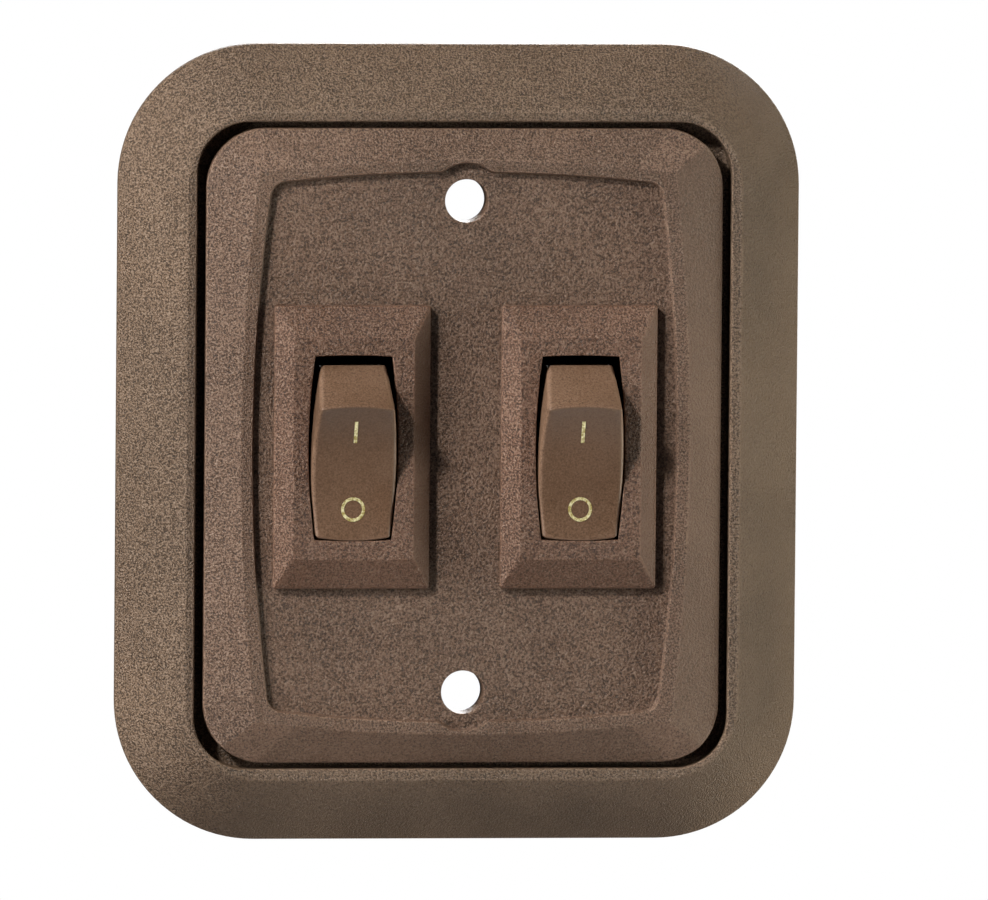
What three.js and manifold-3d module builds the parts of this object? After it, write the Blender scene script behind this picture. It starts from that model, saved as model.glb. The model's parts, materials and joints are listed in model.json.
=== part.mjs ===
// Double rocker-switch wall plate: a trim ring, a loose face plate and two snap-in rocker switches.
// Millimetres. Every piece is made in plate coordinates (x right, y up, z out of the wall), and the whole
// is then stood upright, so that the wall is the XZ plane, +Z is up and the front faces -Y.
import * as THREE from "three";
import { mergeVertices } from "three/addons/utils/BufferGeometryUtils.js";
import Module from "manifold-3d";

const wasm = await Module();
wasm.setup();

// Trim ring: a sloping frame with a pocket whose floor is the ledge that carries the face plate.
const RING_WIDTH = 84.2;
const RING_HEIGHT = 98;
const RING_CORNER = 17.2;
const RING_EDGE = 1.6; // height of the upright outer edge
const RING_SLOPE = 7.9; // width of the sloping face in plan
const RING_RIDGE = 8.2; // height of the land inside the slope
const RING_CROWN = 0.25; // how far the slope bulges, 0 is straight
const RING_WALL = 1.8;
const RING_RIB = 1.4;
const RING_RIBS_X = 0.48; // ribs stand at these shares of the half width and half height
const RING_RIBS_Y = 0.44;
const RING_ROOF = 2.1; // thickness under the land
const RING_ROOF_INSET = 0.6;
const POCKET_WIDTH = 65.9;
const POCKET_HEIGHT = 79.5;
const POCKET_CORNER = 6.4;
const LEDGE_HEIGHT = 5;
const LEDGE_THICKNESS = 1.8;
const BOX_OPENING_WIDTH = 59;
const BOX_OPENING_HEIGHT = 73;
const BOX_OPENING_CORNER = 4;

// Face plate: bevelled rim around a sunk panel, with two screw holes and two switch cut-outs.
const PLATE_WIDTH = 63.7;
const PLATE_HEIGHT = 78;
const PLATE_CORNER = 7.3;
const PLATE_BASE = LEDGE_HEIGHT + 0.05;
const PLATE_EDGE = 8; // height where the upright edge turns into the bevel
const PLATE_WALL = 1.8;
const RIM_HEIGHT = 10.3;
const RIM_CORNER_X = 25.7;
const RIM_CORNER_Y = 33.75;
const RIM_MIDDLE_X = 27.7;
const RIM_MIDDLE_Y = 35.3;
const PANEL_FRONT = 9.5;
const PANEL_BACK = 7.5;
const PANEL_CORNER_X = 24.05;
const PANEL_CORNER_Y = 32.4;
const PANEL_MIDDLE_X = 26.2;
const PANEL_MIDDLE_Y = 33.8;
const PANEL_CORNER = 2;
const SCREW_SPACING = 60.4;
const SCREW_HOLE = 2.65;
const SCREW_RELIEF = 4.7;
const SCREW_BOSS = 4.6;
const CUTOUT_WIDTH = 14;
const CUTOUT_LENGTH = 30;

// Switch housing: bevelled bezel on the panel, box body behind it.
const SWITCH_SPACING = 28;
const BEZEL_WIDTH = 19.2;
const BEZEL_LENGTH = 34.8;
const BEZEL_FACE_WIDTH = 14.9;
const BEZEL_FACE_LENGTH = 27.3;
const BEZEL_SEAT = PANEL_FRONT + 0.02; // just clear of the panel
const BEZEL_EDGE = 10.4;
const BEZEL_FACE = 12.1;
const BEZEL_SKIN = 0.8;
const OPENING_CORNER_X = 4.75;
const OPENING_CORNER_Y = 11.25;
const OPENING_MIDDLE_X = 5.5;
const OPENING_MIDDLE_Y = 11.4;
const BODY_WIDTH = 13.6;
const BODY_LENGTH = 29.4;
const BODY_BACK = -7;
const CAVITY_WIDTH = 11.2;
const CAVITY_LENGTH = 26.6;
const WING_WIDTH = 6.8;
const WING_REACH = 1.2;
const WING_HEIGHT = 4.9;
const WING_SLOT = 0.5;
const WING_HOOK = 0.5; // height of the blunt step that bears on the panel

// Rocker, in its own frame: y along its length, z out of the switch, origin on the pivot.
const PIVOT_HEIGHT = 3.5;
const ROCKER_TILT = 15; // degrees either side of level
const RIDGE_Y = 8.3;
const RIDGE_Z = 11.3;
const DISH_DEPTH = 1.3;
const ROCKER_END_Y = 11.75;
const ROCKER_END_Z = 4.7;
const ROCKER_FOOT_Y = 11.3;
const ROCKER_FOOT_Z = 3.2;
const ROCKER_HALF_MIDDLE = 5.2;
const ROCKER_HALF_END = 4;
const ROCKER_PLAN_MARGIN = 0.1;
const ROCKER_SIDE_WALL = 0.9;
const ROCKER_END_WALL = 1.2;
const ROCKER_TOP_WALL = 1.8;
const CORE_PAST_RIDGE = 0.5;
const HUB_HALF = 2.6;
const HUB_BOTTOM = -1.9;
const TRUNNION_RADIUS = 1;
const TRUNNION_REACH = 6.6;
const TRUNNION_ROOT = 0.4; // how far a trunnion is rooted in the side of the rocker
const TRUNNION_CLEARANCE = 0.06;
const BORE_RADIUS = 1;
const BORE_TOP = 2.4;

// Sprung plunger inside the rocker, and the see-saw contact blade that it rides on.
const PLUNGER_RADIUS = 0.93;
const PLUNGER_TOP = -0.3;
const PLUNGER_BALL = -3.42;
const SPRING_RADIUS = 0.7;
const SPRING_WIRE = 0.14;
const SPRING_TURNS = 5;
const FULCRUM_HEIGHT = -1.2;
const BLADE_TILT = 7; // degrees either side of level
const BLADE_HALF_LENGTH = 7.9;
const BLADE_HALF_WIDTH = 1.9;
const BLADE_WAIST = 1.5;
const BLADE_WAIST_HALF_LENGTH = 0.75;
const BLADE_THICKNESS = 0.5;
const CONTACT_Y = -6.6;
const CONTACT_RADIUS = 1.1;
const CONTACT_HEIGHT = 0.5;
const CONTACT_FLANK = 0.5; // share of the height that is upright
const CONTACT_SHOULDER_RADIUS = 0.6; // shares of the radius and height where the dome turns over
const CONTACT_SHOULDER_HEIGHT = 0.85;

// Terminals and the base that holds them.
const TAB_WIDTH = 6.3;
const TAB_THICKNESS = 0.8;
const TAB_CHAMFER = 1.2;
const TAB_HOLE = 0.8;
const TAB_HOLE_FROM_TIP = 3;
const EAR_INNER = 1.7;
const EAR_OUTER = 2.9;
const EAR_TOP = FULCRUM_HEIGHT + 0.3;
const CRADLE_GAP = 0.1;
const CRADLE_TOP = FULCRUM_HEIGHT - 0.5 * BLADE_THICKNESS - CRADLE_GAP;
const BASE_FRONT = -4.2;
const FINGER_TOP = -3.35;
const LOAD_TAB_Y = -9.5;
const LOAD_CONTACT_Y = -6.5;
const LOAD_CONTACT_TOP = -2.8;
const FINGER_END = -5.1;
const REST_BOSS_TOP = -2.45;
const REST_BOSS_WIDTH = 3;
const REST_BOSS_LENGTH = 2.4;

const SMALL_GAP = 0.05; // play between fixed pieces inside a switch
const FINE_GAP = 0.02;
const REACH = 30; // cutters run this far past what they cut

const brownPlastic = { color: 0x5d473b, roughness: 0.55, metalness: 0 };
const switchPlastic = { color: 0x57402f, roughness: 0.5, metalness: 0 };
const rockerPlastic = { color: 0x5a4033, roughness: 0.4, metalness: 0 };
const blackPlastic = { color: 0x1d1b1a, roughness: 0.6, metalness: 0 };
const springSteel = { color: 0xb4b6b8, roughness: 0.3, metalness: 1 };
const brass = { color: 0xc9a75c, roughness: 0.35, metalness: 1 };
const copper = { color: 0xc27a55, roughness: 0.35, metalness: 1 };
const silver = { color: 0xd9d9d6, roughness: 0.25, metalness: 1 };

// ---------------------------------------------------------------- outlines

function roundedRect(width, height, radius) {
  const x = width / 2 - radius;
  const y = height / 2 - radius;
  const shape = new THREE.Shape();
  shape.absarc(x, y, radius, 0, 0.5 * Math.PI);
  shape.absarc(-x, y, radius, 0.5 * Math.PI, Math.PI);
  shape.absarc(-x, -y, radius, Math.PI, 1.5 * Math.PI);
  shape.absarc(x, -y, radius, 1.5 * Math.PI, 2 * Math.PI);
  shape.closePath();
  return shape;
}

// A four-sided outline with sharp corners whose sides bow out to the middle sizes.
function barrel(cornerX, cornerY, middleX, middleY) {
  const bowX = 2 * middleX - cornerX;
  const bowY = 2 * middleY - cornerY;
  const shape = new THREE.Shape();
  shape.moveTo(cornerX, -cornerY);
  shape.quadraticCurveTo(bowX, 0, cornerX, cornerY);
  shape.quadraticCurveTo(0, bowY, -cornerX, cornerY);
  shape.quadraticCurveTo(-bowX, 0, -cornerX, -cornerY);
  shape.quadraticCurveTo(0, -bowY, cornerX, -cornerY);
  return shape;
}

function rectangle(width, height) {
  return barrel(width / 2, height / 2, width / 2, height / 2);
}

// The bowed outline again, with its corners rounded off.
function softBarrel(cornerX, cornerY, middleX, middleY, radius) {
  const bowX = 2 * middleX - cornerX;
  const bowY = 2 * middleY - cornerY;
  const x = cornerX - radius;
  const y = cornerY - radius;
  const shape = new THREE.Shape();
  shape.moveTo(cornerX, -y);
  shape.quadraticCurveTo(bowX, 0, cornerX, y);
  shape.quadraticCurveTo(cornerX, cornerY, x, cornerY);
  shape.quadraticCurveTo(0, bowY, -x, cornerY);
  shape.quadraticCurveTo(-cornerX, cornerY, -cornerX, y);
  shape.quadraticCurveTo(-bowX, 0, -cornerX, -y);
  shape.quadraticCurveTo(-cornerX, -cornerY, -x, -cornerY);
  shape.quadraticCurveTo(0, -bowY, x, -cornerY);
  shape.quadraticCurveTo(cornerX, -cornerY, cornerX, -y);
  return shape;
}

function polygon(...corners) {
  return new THREE.Shape(corners.map(([x, y]) => new THREE.Vector2(x, y)));
}

// ---------------------------------------------------------------- solids

function solidOf(geometry) {
  const bare = geometry.index ? geometry.toNonIndexed() : geometry.clone();
  bare.deleteAttribute("normal");
  bare.deleteAttribute("uv");
  const merged = mergeVertices(bare, 1e-4);
  return new wasm.Manifold(
    new wasm.Mesh({
      numProp: 3,
      vertProperties: merged.attributes.position.array,
      triVerts: new Uint32Array(merged.index.array),
    }),
  );
}

function swept(shape, depth, curveSegments) {
  return new THREE.ExtrudeGeometry(shape, { depth, bevelEnabled: false, curveSegments });
}

// An outline swept from one height to another.
function prism(shape, low, high, curveSegments = 12) {
  return solidOf(swept(shape, high - low, curveSegments).translate(0, 0, low));
}

// An outline drawn in (y, z) and swept along x.
function prismAcross(shape, left, right, curveSegments = 12) {
  const turn = new THREE.Matrix4().makeBasis(
    new THREE.Vector3(0, 1, 0),
    new THREE.Vector3(0, 0, 1),
    new THREE.Vector3(1, 0, 0),
  );
  return solidOf(swept(shape, right - left, curveSegments).translate(0, 0, left).applyMatrix4(turn));
}

// An outline drawn in (x, z) and swept along y.
function prismUpward(shape, bottom, top, curveSegments = 8) {
  const turn = new THREE.Matrix4().makeBasis(
    new THREE.Vector3(1, 0, 0),
    new THREE.Vector3(0, 0, 1),
    new THREE.Vector3(0, -1, 0),
  );
  return solidOf(swept(shape, top - bottom, curveSegments).translate(0, 0, -top).applyMatrix4(turn));
}

function block(width, height, low, high, x = 0, y = 0) {
  const geometry = new THREE.BoxGeometry(width, height, high - low);
  return solidOf(geometry.translate(x, y, (low + high) / 2));
}

function post(radius, low, high, x = 0, y = 0, sides = 32) {
  const geometry = new THREE.CylinderGeometry(radius, radius, high - low, sides);
  return solidOf(geometry.rotateX(Math.PI / 2).translate(x, y, (low + high) / 2));
}

function pinAcross(radius, left, right, z, sides = 32) {
  const geometry = new THREE.CylinderGeometry(radius, radius, right - left, sides);
  return solidOf(geometry.rotateZ(Math.PI / 2).translate((left + right) / 2, 0, z));
}

// A solid that passes through matching outlines, each given with its height.
function loft(levels, curveSegments) {
  const outlines = levels.map(([shape]) => {
    const points = shape.extractPoints(curveSegments).shape;
    const closed = points[0].distanceTo(points[points.length - 1]) < 1e-6;
    return closed ? points.slice(0, -1) : points;
  });
  const count = outlines[0].length;
  const positions = [];
  outlines.forEach((points, level) => {
    points.forEach((point) => positions.push(point.x, point.y, levels[level][1]));
  });
  const faces = [];
  for (let level = 0; level + 1 < levels.length; level++) {
    for (let i = 0; i < count; i++) {
      const here = level * count + i;
      const next = level * count + ((i + 1) % count);
      faces.push(here, next, next + count);
      faces.push(here, next + count, here + count);
    }
  }
  const top = (levels.length - 1) * count;
  THREE.ShapeUtils.triangulateShape(outlines[0], []).forEach(([a, b, c]) => faces.push(a, c, b));
  THREE.ShapeUtils.triangulateShape(outlines[outlines.length - 1], []).forEach(([a, b, c]) => {
    faces.push(top + a, top + b, top + c);
  });
  const geometry = new THREE.BufferGeometry();
  geometry.setAttribute("position", new THREE.Float32BufferAttribute(positions, 3));
  geometry.setIndex(faces);
  return solidOf(geometry);
}

function named(name, solid, finish) {
  const mesh = solid.getMesh();
  const geometry = new THREE.BufferGeometry();
  geometry.setAttribute("position", new THREE.Float32BufferAttribute(mesh.vertProperties, 3));
  geometry.setIndex(Array.from(mesh.triVerts));
  geometry.computeVertexNormals();
  const piece = new THREE.Mesh(geometry, new THREE.MeshStandardMaterial(finish));
  piece.name = name;
  return piece;
}

// ---------------------------------------------------------------- trim ring

function ringOutline(inset) {
  return roundedRect(RING_WIDTH - 2 * inset, RING_HEIGHT - 2 * inset, RING_CORNER - inset);
}

function grownRect(width, height, corner, grow) {
  return roundedRect(width + 2 * grow, height + 2 * grow, corner + grow);
}

function ringHollow() {
  const shell = loft(
    [
      [ringOutline(RING_WALL), -1],
      [ringOutline(RING_WALL), 0.5 * RING_EDGE],
      [ringOutline(RING_SLOPE - RING_ROOF_INSET), RING_RIDGE - RING_ROOF],
    ],
    8,
  );
  const skirt = grownRect(BOX_OPENING_WIDTH, BOX_OPENING_HEIGHT, BOX_OPENING_CORNER, RING_WALL);
  const pocketWall = grownRect(POCKET_WIDTH, POCKET_HEIGHT, POCKET_CORNER, RING_WALL);
  let hollow = shell
    .subtract(prism(skirt, -REACH, REACH, 6))
    .subtract(prism(pocketWall, LEDGE_HEIGHT - LEDGE_THICKNESS, REACH, 6));
  for (const side of [-1, 1]) {
    for (const step of [-1, 1]) {
      const x = 0.5 * step * RING_RIBS_X * RING_WIDTH;
      const y = 0.5 * step * RING_RIBS_Y * RING_HEIGHT;
      const alongTop = block(RING_RIB, REACH, -REACH, REACH, x, 0.5 * side * RING_HEIGHT);
      const alongSide = block(REACH, RING_RIB, -REACH, REACH, 0.5 * side * RING_WIDTH, y);
      hollow = hollow.subtract(alongTop).subtract(alongSide);
    }
  }
  return hollow;
}

function trimRing() {
  const levels = [
    [ringOutline(0), 0],
    [ringOutline(0), RING_EDGE],
  ];
  const slopeSteps = 5;
  for (let step = 1; step <= slopeSteps; step++) {
    const across = step / slopeSteps;
    const rise = across * (1 + RING_CROWN * (1 - across));
    levels.push([ringOutline(across * RING_SLOPE), RING_EDGE + rise * (RING_RIDGE - RING_EDGE)]);
  }
  const pocket = roundedRect(POCKET_WIDTH, POCKET_HEIGHT, POCKET_CORNER);
  const boxOpening = roundedRect(BOX_OPENING_WIDTH, BOX_OPENING_HEIGHT, BOX_OPENING_CORNER);
  return loft(levels, 8)
    .subtract(prism(pocket, LEDGE_HEIGHT, REACH, 8))
    .subtract(prism(boxOpening, -REACH, REACH, 6))
    .subtract(ringHollow());
}

// ---------------------------------------------------------------- face plate

function facePlate() {
  const rim = barrel(RIM_CORNER_X, RIM_CORNER_Y, RIM_MIDDLE_X, RIM_MIDDLE_Y);
  const bevelled = loft(
    [
      [rectangle(PLATE_WIDTH, PLATE_HEIGHT), PLATE_BASE],
      [rectangle(PLATE_WIDTH, PLATE_HEIGHT), PLATE_EDGE],
      [rim, RIM_HEIGHT],
    ],
    10,
  );
  const outline = roundedRect(PLATE_WIDTH, PLATE_HEIGHT, PLATE_CORNER);
  const panel = softBarrel(PANEL_CORNER_X, PANEL_CORNER_Y, PANEL_MIDDLE_X, PANEL_MIDDLE_Y, PANEL_CORNER);
  const backOutline = roundedRect(
    PLATE_WIDTH - 2 * PLATE_WALL,
    PLATE_HEIGHT - 2 * PLATE_WALL,
    PLATE_CORNER - PLATE_WALL,
  );
  let backPocket = prism(backOutline, PLATE_BASE - 1, PANEL_BACK, 6);
  let plate = bevelled
    .intersect(prism(outline, PLATE_BASE - 1, REACH, 8))
    .subtract(prism(panel, PANEL_FRONT, REACH, 8));
  for (const side of [-1, 1]) {
    const y = (side * SCREW_SPACING) / 2;
    backPocket = backPocket.subtract(post(SCREW_BOSS, PLATE_BASE - 2, PANEL_BACK + 1, 0, y));
    plate = plate
      .subtract(post(SCREW_RELIEF, PANEL_FRONT, REACH, 0, y, 40))
      .subtract(post(SCREW_HOLE, -REACH, REACH, 0, y))
      .subtract(block(CUTOUT_WIDTH, CUTOUT_LENGTH, -REACH, REACH, (side * SWITCH_SPACING) / 2));
  }
  return plate.subtract(backPocket);
}

// ---------------------------------------------------------------- switch pieces

// A snap wing on one end of the body, with the slots that free it.
function wing(side) {
  const wall = BODY_LENGTH / 2;
  const top = PANEL_BACK - 2 * SMALL_GAP;
  const profile = polygon(
    [wall - WING_HOOK, top - WING_HEIGHT],
    [wall, top - WING_HEIGHT],
    [wall + WING_REACH, top - WING_HOOK],
    [wall + WING_REACH, top],
    [wall - WING_HOOK, top],
  );
  const geometry = prismAcross(profile, -WING_WIDTH / 2, WING_WIDTH / 2);
  return side > 0 ? geometry : geometry.mirror([0, 1, 0]);
}

function wingSlots(side) {
  const y = (side * (BODY_LENGTH + CAVITY_LENGTH)) / 4;
  const length = BODY_LENGTH - CAVITY_LENGTH;
  const x = (WING_WIDTH + WING_SLOT) / 2;
  const low = PANEL_BACK - WING_HEIGHT;
  return block(WING_SLOT, length, low, PANEL_BACK, -x, y).add(block(WING_SLOT, length, low, PANEL_BACK, x, y));
}

function housing() {
  const foot = rectangle(BEZEL_WIDTH, BEZEL_LENGTH);
  const face = rectangle(BEZEL_FACE_WIDTH, BEZEL_FACE_LENGTH);
  const opening = barrel(OPENING_CORNER_X, OPENING_CORNER_Y, OPENING_MIDDLE_X, OPENING_MIDDLE_Y);
  return loft(
    [
      [foot, BEZEL_SEAT],
      [foot, BEZEL_EDGE],
      [face, BEZEL_FACE],
    ],
    1,
  )
    .add(block(BODY_WIDTH, BODY_LENGTH, BODY_BACK, BEZEL_EDGE))
    .add(wing(1))
    .add(wing(-1))
    .subtract(block(CAVITY_WIDTH, CAVITY_LENGTH, BODY_BACK - 1, BEZEL_FACE - BEZEL_SKIN))
    .subtract(prism(opening, 0, REACH, 10))
    .subtract(wingSlots(1))
    .subtract(wingSlots(-1))
    .subtract(pinAcross(TRUNNION_RADIUS + TRUNNION_CLEARANCE, -REACH, REACH, PIVOT_HEIGHT));
}

function rockerProfile() {
  const shape = new THREE.Shape();
  shape.moveTo(RIDGE_Y, RIDGE_Z);
  shape.quadraticCurveTo(0, RIDGE_Z - 2 * DISH_DEPTH, -RIDGE_Y, RIDGE_Z);
  shape.lineTo(-ROCKER_END_Y, ROCKER_END_Z);
  shape.lineTo(-ROCKER_FOOT_Y, ROCKER_FOOT_Z);
  shape.lineTo(-HUB_HALF, ROCKER_FOOT_Z);
  shape.lineTo(-HUB_HALF, HUB_BOTTOM);
  shape.lineTo(HUB_HALF, HUB_BOTTOM);
  shape.lineTo(HUB_HALF, ROCKER_FOOT_Z);
  shape.lineTo(ROCKER_FOOT_Y, ROCKER_FOOT_Z);
  shape.lineTo(ROCKER_END_Y, ROCKER_END_Z);
  shape.lineTo(RIDGE_Y, RIDGE_Z);
  return shape;
}

function rocker() {
  const planEnd = ROCKER_END_Y + ROCKER_PLAN_MARGIN;
  const plan = barrel(ROCKER_HALF_END, planEnd, ROCKER_HALF_MIDDLE, planEnd);
  const coreWidth = 2 * (ROCKER_HALF_END - ROCKER_SIDE_WALL);
  const coreNear = HUB_HALF + ROCKER_END_WALL;
  const coreFar = RIDGE_Y + CORE_PAST_RIDGE;
  const coreTop = RIDGE_Z - DISH_DEPTH - ROCKER_TOP_WALL;
  const middle = (coreNear + coreFar) / 2;
  const length = coreFar - coreNear;
  return prismAcross(rockerProfile(), -ROCKER_HALF_MIDDLE - 1, ROCKER_HALF_MIDDLE + 1, 16)
    .intersect(prism(plan, -REACH, REACH, 12))
    .subtract(block(coreWidth, length, 0, coreTop, 0, middle))
    .subtract(block(coreWidth, length, 0, coreTop, 0, -middle))
    .add(pinAcross(TRUNNION_RADIUS, ROCKER_HALF_MIDDLE - TRUNNION_ROOT, TRUNNION_REACH, 0))
    .add(pinAcross(TRUNNION_RADIUS, -TRUNNION_REACH, TRUNNION_ROOT - ROCKER_HALF_MIDDLE, 0))
    .subtract(post(BORE_RADIUS, HUB_BOTTOM - 1, BORE_TOP));
}

// Lathe profiles run from the axis at one end to the axis at the other, and turn about z.
function turned(profile, sides = 24) {
  const points = profile.map(([radius, z]) => new THREE.Vector2(radius, z));
  return solidOf(new THREE.LatheGeometry(points, sides).rotateX(Math.PI / 2));
}

function plunger() {
  const profile = [[0, PLUNGER_BALL - PLUNGER_RADIUS]];
  const steps = 5;
  for (let step = 1; step <= steps; step++) {
    const angle = (0.5 * Math.PI * step) / steps;
    profile.push([PLUNGER_RADIUS * Math.sin(angle), PLUNGER_BALL - PLUNGER_RADIUS * Math.cos(angle)]);
  }
  profile.push([PLUNGER_RADIUS, PLUNGER_TOP], [0, PLUNGER_TOP]);
  return turned(profile);
}

function spring() {
  const low = PLUNGER_TOP + SPRING_WIRE + SMALL_GAP;
  const high = BORE_TOP - SPRING_WIRE - SMALL_GAP;
  const helix = new THREE.Curve();
  helix.getPoint = (t, target = new THREE.Vector3()) => {
    const angle = 2 * Math.PI * SPRING_TURNS * t;
    return target.set(
      SPRING_RADIUS * Math.cos(angle),
      SPRING_RADIUS * Math.sin(angle),
      low + t * (high - low),
    );
  };
  const wire = new THREE.Shape().absarc(0, 0, SPRING_WIRE, 0, 2 * Math.PI);
  const geometry = new THREE.ExtrudeGeometry(wire, {
    steps: 12 * SPRING_TURNS,
    curveSegments: 3,
    bevelEnabled: false,
    extrudePath: helix,
  });
  return solidOf(geometry);
}

function contactBlade() {
  const outline = polygon(
    [-BLADE_HALF_WIDTH, -BLADE_HALF_LENGTH],
    [BLADE_HALF_WIDTH, -BLADE_HALF_LENGTH],
    [BLADE_HALF_WIDTH, -BLADE_WAIST_HALF_LENGTH],
    [BLADE_WAIST, -BLADE_WAIST_HALF_LENGTH],
    [BLADE_WAIST, BLADE_WAIST_HALF_LENGTH],
    [BLADE_HALF_WIDTH, BLADE_WAIST_HALF_LENGTH],
    [BLADE_HALF_WIDTH, BLADE_HALF_LENGTH],
    [-BLADE_HALF_WIDTH, BLADE_HALF_LENGTH],
    [-BLADE_HALF_WIDTH, BLADE_WAIST_HALF_LENGTH],
    [-BLADE_WAIST, BLADE_WAIST_HALF_LENGTH],
    [-BLADE_WAIST, -BLADE_WAIST_HALF_LENGTH],
    [-BLADE_HALF_WIDTH, -BLADE_WAIST_HALF_LENGTH],
  );
  return prism(outline, -BLADE_THICKNESS / 2, BLADE_THICKNESS / 2);
}

// A domed contact button whose flat back is at z = 0 and whose crown is at z = height.
function contactButton(radius, height) {
  return turned([
    [0, 0],
    [radius, 0],
    [radius, CONTACT_FLANK * height],
    [CONTACT_SHOULDER_RADIUS * radius, CONTACT_SHOULDER_HEIGHT * height],
    [0, height],
  ]);
}

// The blade terminal outside the base, drawn in (x, z) and swept through its thickness.
function tab(tip, top, y) {
  const half = TAB_WIDTH / 2;
  const outline = polygon(
    [-half + TAB_CHAMFER, tip],
    [half - TAB_CHAMFER, tip],
    [half, tip + TAB_CHAMFER],
    [half, top],
    [-half, top],
    [-half, tip + TAB_CHAMFER],
  );
  const eye = new THREE.Path().absarc(0, tip + TAB_HOLE_FROM_TIP, TAB_HOLE, 0, 2 * Math.PI, true);
  outline.holes.push(eye);
  return prismUpward(outline, y - TAB_THICKNESS / 2, y + TAB_THICKNESS / 2);
}

function commonTerminal(tip) {
  const cradle = polygon(
    [-EAR_OUTER, BASE_FRONT - 1],
    [EAR_OUTER, BASE_FRONT - 1],
    [EAR_OUTER, EAR_TOP],
    [EAR_INNER, EAR_TOP],
    [EAR_INNER, CRADLE_TOP],
    [-EAR_INNER, CRADLE_TOP],
    [-EAR_INNER, EAR_TOP],
    [-EAR_OUTER, EAR_TOP],
  );
  return tab(tip, BASE_FRONT, 0).add(prismUpward(cradle, -TAB_THICKNESS / 2, TAB_THICKNESS / 2));
}

function loadTerminal(tip) {
  const finger = polygon(
    [LOAD_TAB_Y - TAB_THICKNESS / 2, FINGER_TOP - TAB_THICKNESS],
    [FINGER_END, FINGER_TOP - TAB_THICKNESS],
    [FINGER_END, FINGER_TOP],
    [LOAD_TAB_Y - TAB_THICKNESS / 2, FINGER_TOP],
  );
  return tab(tip, FINGER_TOP - TAB_THICKNESS / 2, LOAD_TAB_Y).add(
    prismAcross(finger, -TAB_WIDTH / 2, TAB_WIDTH / 2),
  );
}

function rearBase() {
  const slotWidth = TAB_WIDTH + 2 * SMALL_GAP;
  const slotHeight = TAB_THICKNESS + 2 * SMALL_GAP;
  return block(CAVITY_WIDTH - 4 * SMALL_GAP, CAVITY_LENGTH - 4 * SMALL_GAP, BODY_BACK, BASE_FRONT)
    .add(block(REST_BOSS_WIDTH, REST_BOSS_LENGTH, BODY_BACK, REST_BOSS_TOP, 0, -CONTACT_Y))
    .subtract(block(slotWidth, slotHeight, -REACH, REACH))
    .subtract(block(slotWidth, slotHeight, -REACH, REACH, 0, LOAD_TAB_Y));
}

// ---------------------------------------------------------------- assembly

// The raised crest of a rocker at rest is the front of the whole; the terminals end as far behind the wall.
function crestHeight() {
  const tilt = THREE.MathUtils.degToRad(ROCKER_TILT);
  return PIVOT_HEIGHT + RIDGE_Z * Math.cos(tilt) + RIDGE_Y * Math.sin(tilt);
}

function rockerSwitch(side, x) {
  const tip = -crestHeight();
  const fixed = new THREE.Group();
  fixed.position.set(x, 0, 0);
  fixed.add(
    named(side + "_switch_housing", housing(), switchPlastic),
    named(side + "_rear_base", rearBase(), blackPlastic),
    named(side + "_common_terminal", commonTerminal(tip), brass),
    named(side + "_load_terminal", loadTerminal(tip), brass),
  );
  const loadHeight = LOAD_CONTACT_TOP - FINGER_TOP - SMALL_GAP;
  const loadContact = named(side + "_load_contact", contactButton(CONTACT_RADIUS, loadHeight), silver);
  loadContact.position.set(0, LOAD_CONTACT_Y, FINGER_TOP + SMALL_GAP);
  fixed.add(loadContact);

  const tilting = new THREE.Group();
  tilting.position.set(0, 0, PIVOT_HEIGHT);
  tilting.rotation.x = THREE.MathUtils.degToRad(ROCKER_TILT);
  tilting.add(
    named(side + "_rocker", rocker(), rockerPlastic),
    named(side + "_plunger", plunger(), silver),
    named(side + "_plunger_spring", spring(), springSteel),
  );
  fixed.add(tilting);

  const seesaw = new THREE.Group();
  seesaw.position.set(0, 0, FULCRUM_HEIGHT);
  seesaw.rotation.x = THREE.MathUtils.degToRad(-BLADE_TILT);
  const bladeContact = named(side + "_blade_contact", contactButton(CONTACT_RADIUS, CONTACT_HEIGHT), silver);
  bladeContact.rotation.x = Math.PI;
  bladeContact.position.set(0, CONTACT_Y, -BLADE_THICKNESS / 2 - FINE_GAP);
  seesaw.add(named(side + "_contact_blade", contactBlade(), copper), bladeContact);
  fixed.add(seesaw);
  return fixed;
}

const assembly = new THREE.Group();
assembly.add(
  named("trim_ring", trimRing(), brownPlastic),
  named("face_plate", facePlate(), brownPlastic),
  rockerSwitch("left", -SWITCH_SPACING / 2),
  rockerSwitch("right", SWITCH_SPACING / 2),
);
assembly.rotation.x = Math.PI / 2;

export default assembly;
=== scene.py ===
"""Looks of the double rocker-switch wall plate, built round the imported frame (Blender 4.5)."""

import json
import math

import bmesh
import bpy
import numpy as np
from mathutils import Matrix, Vector
from mathutils.geometry import tessellate_polygon

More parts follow.
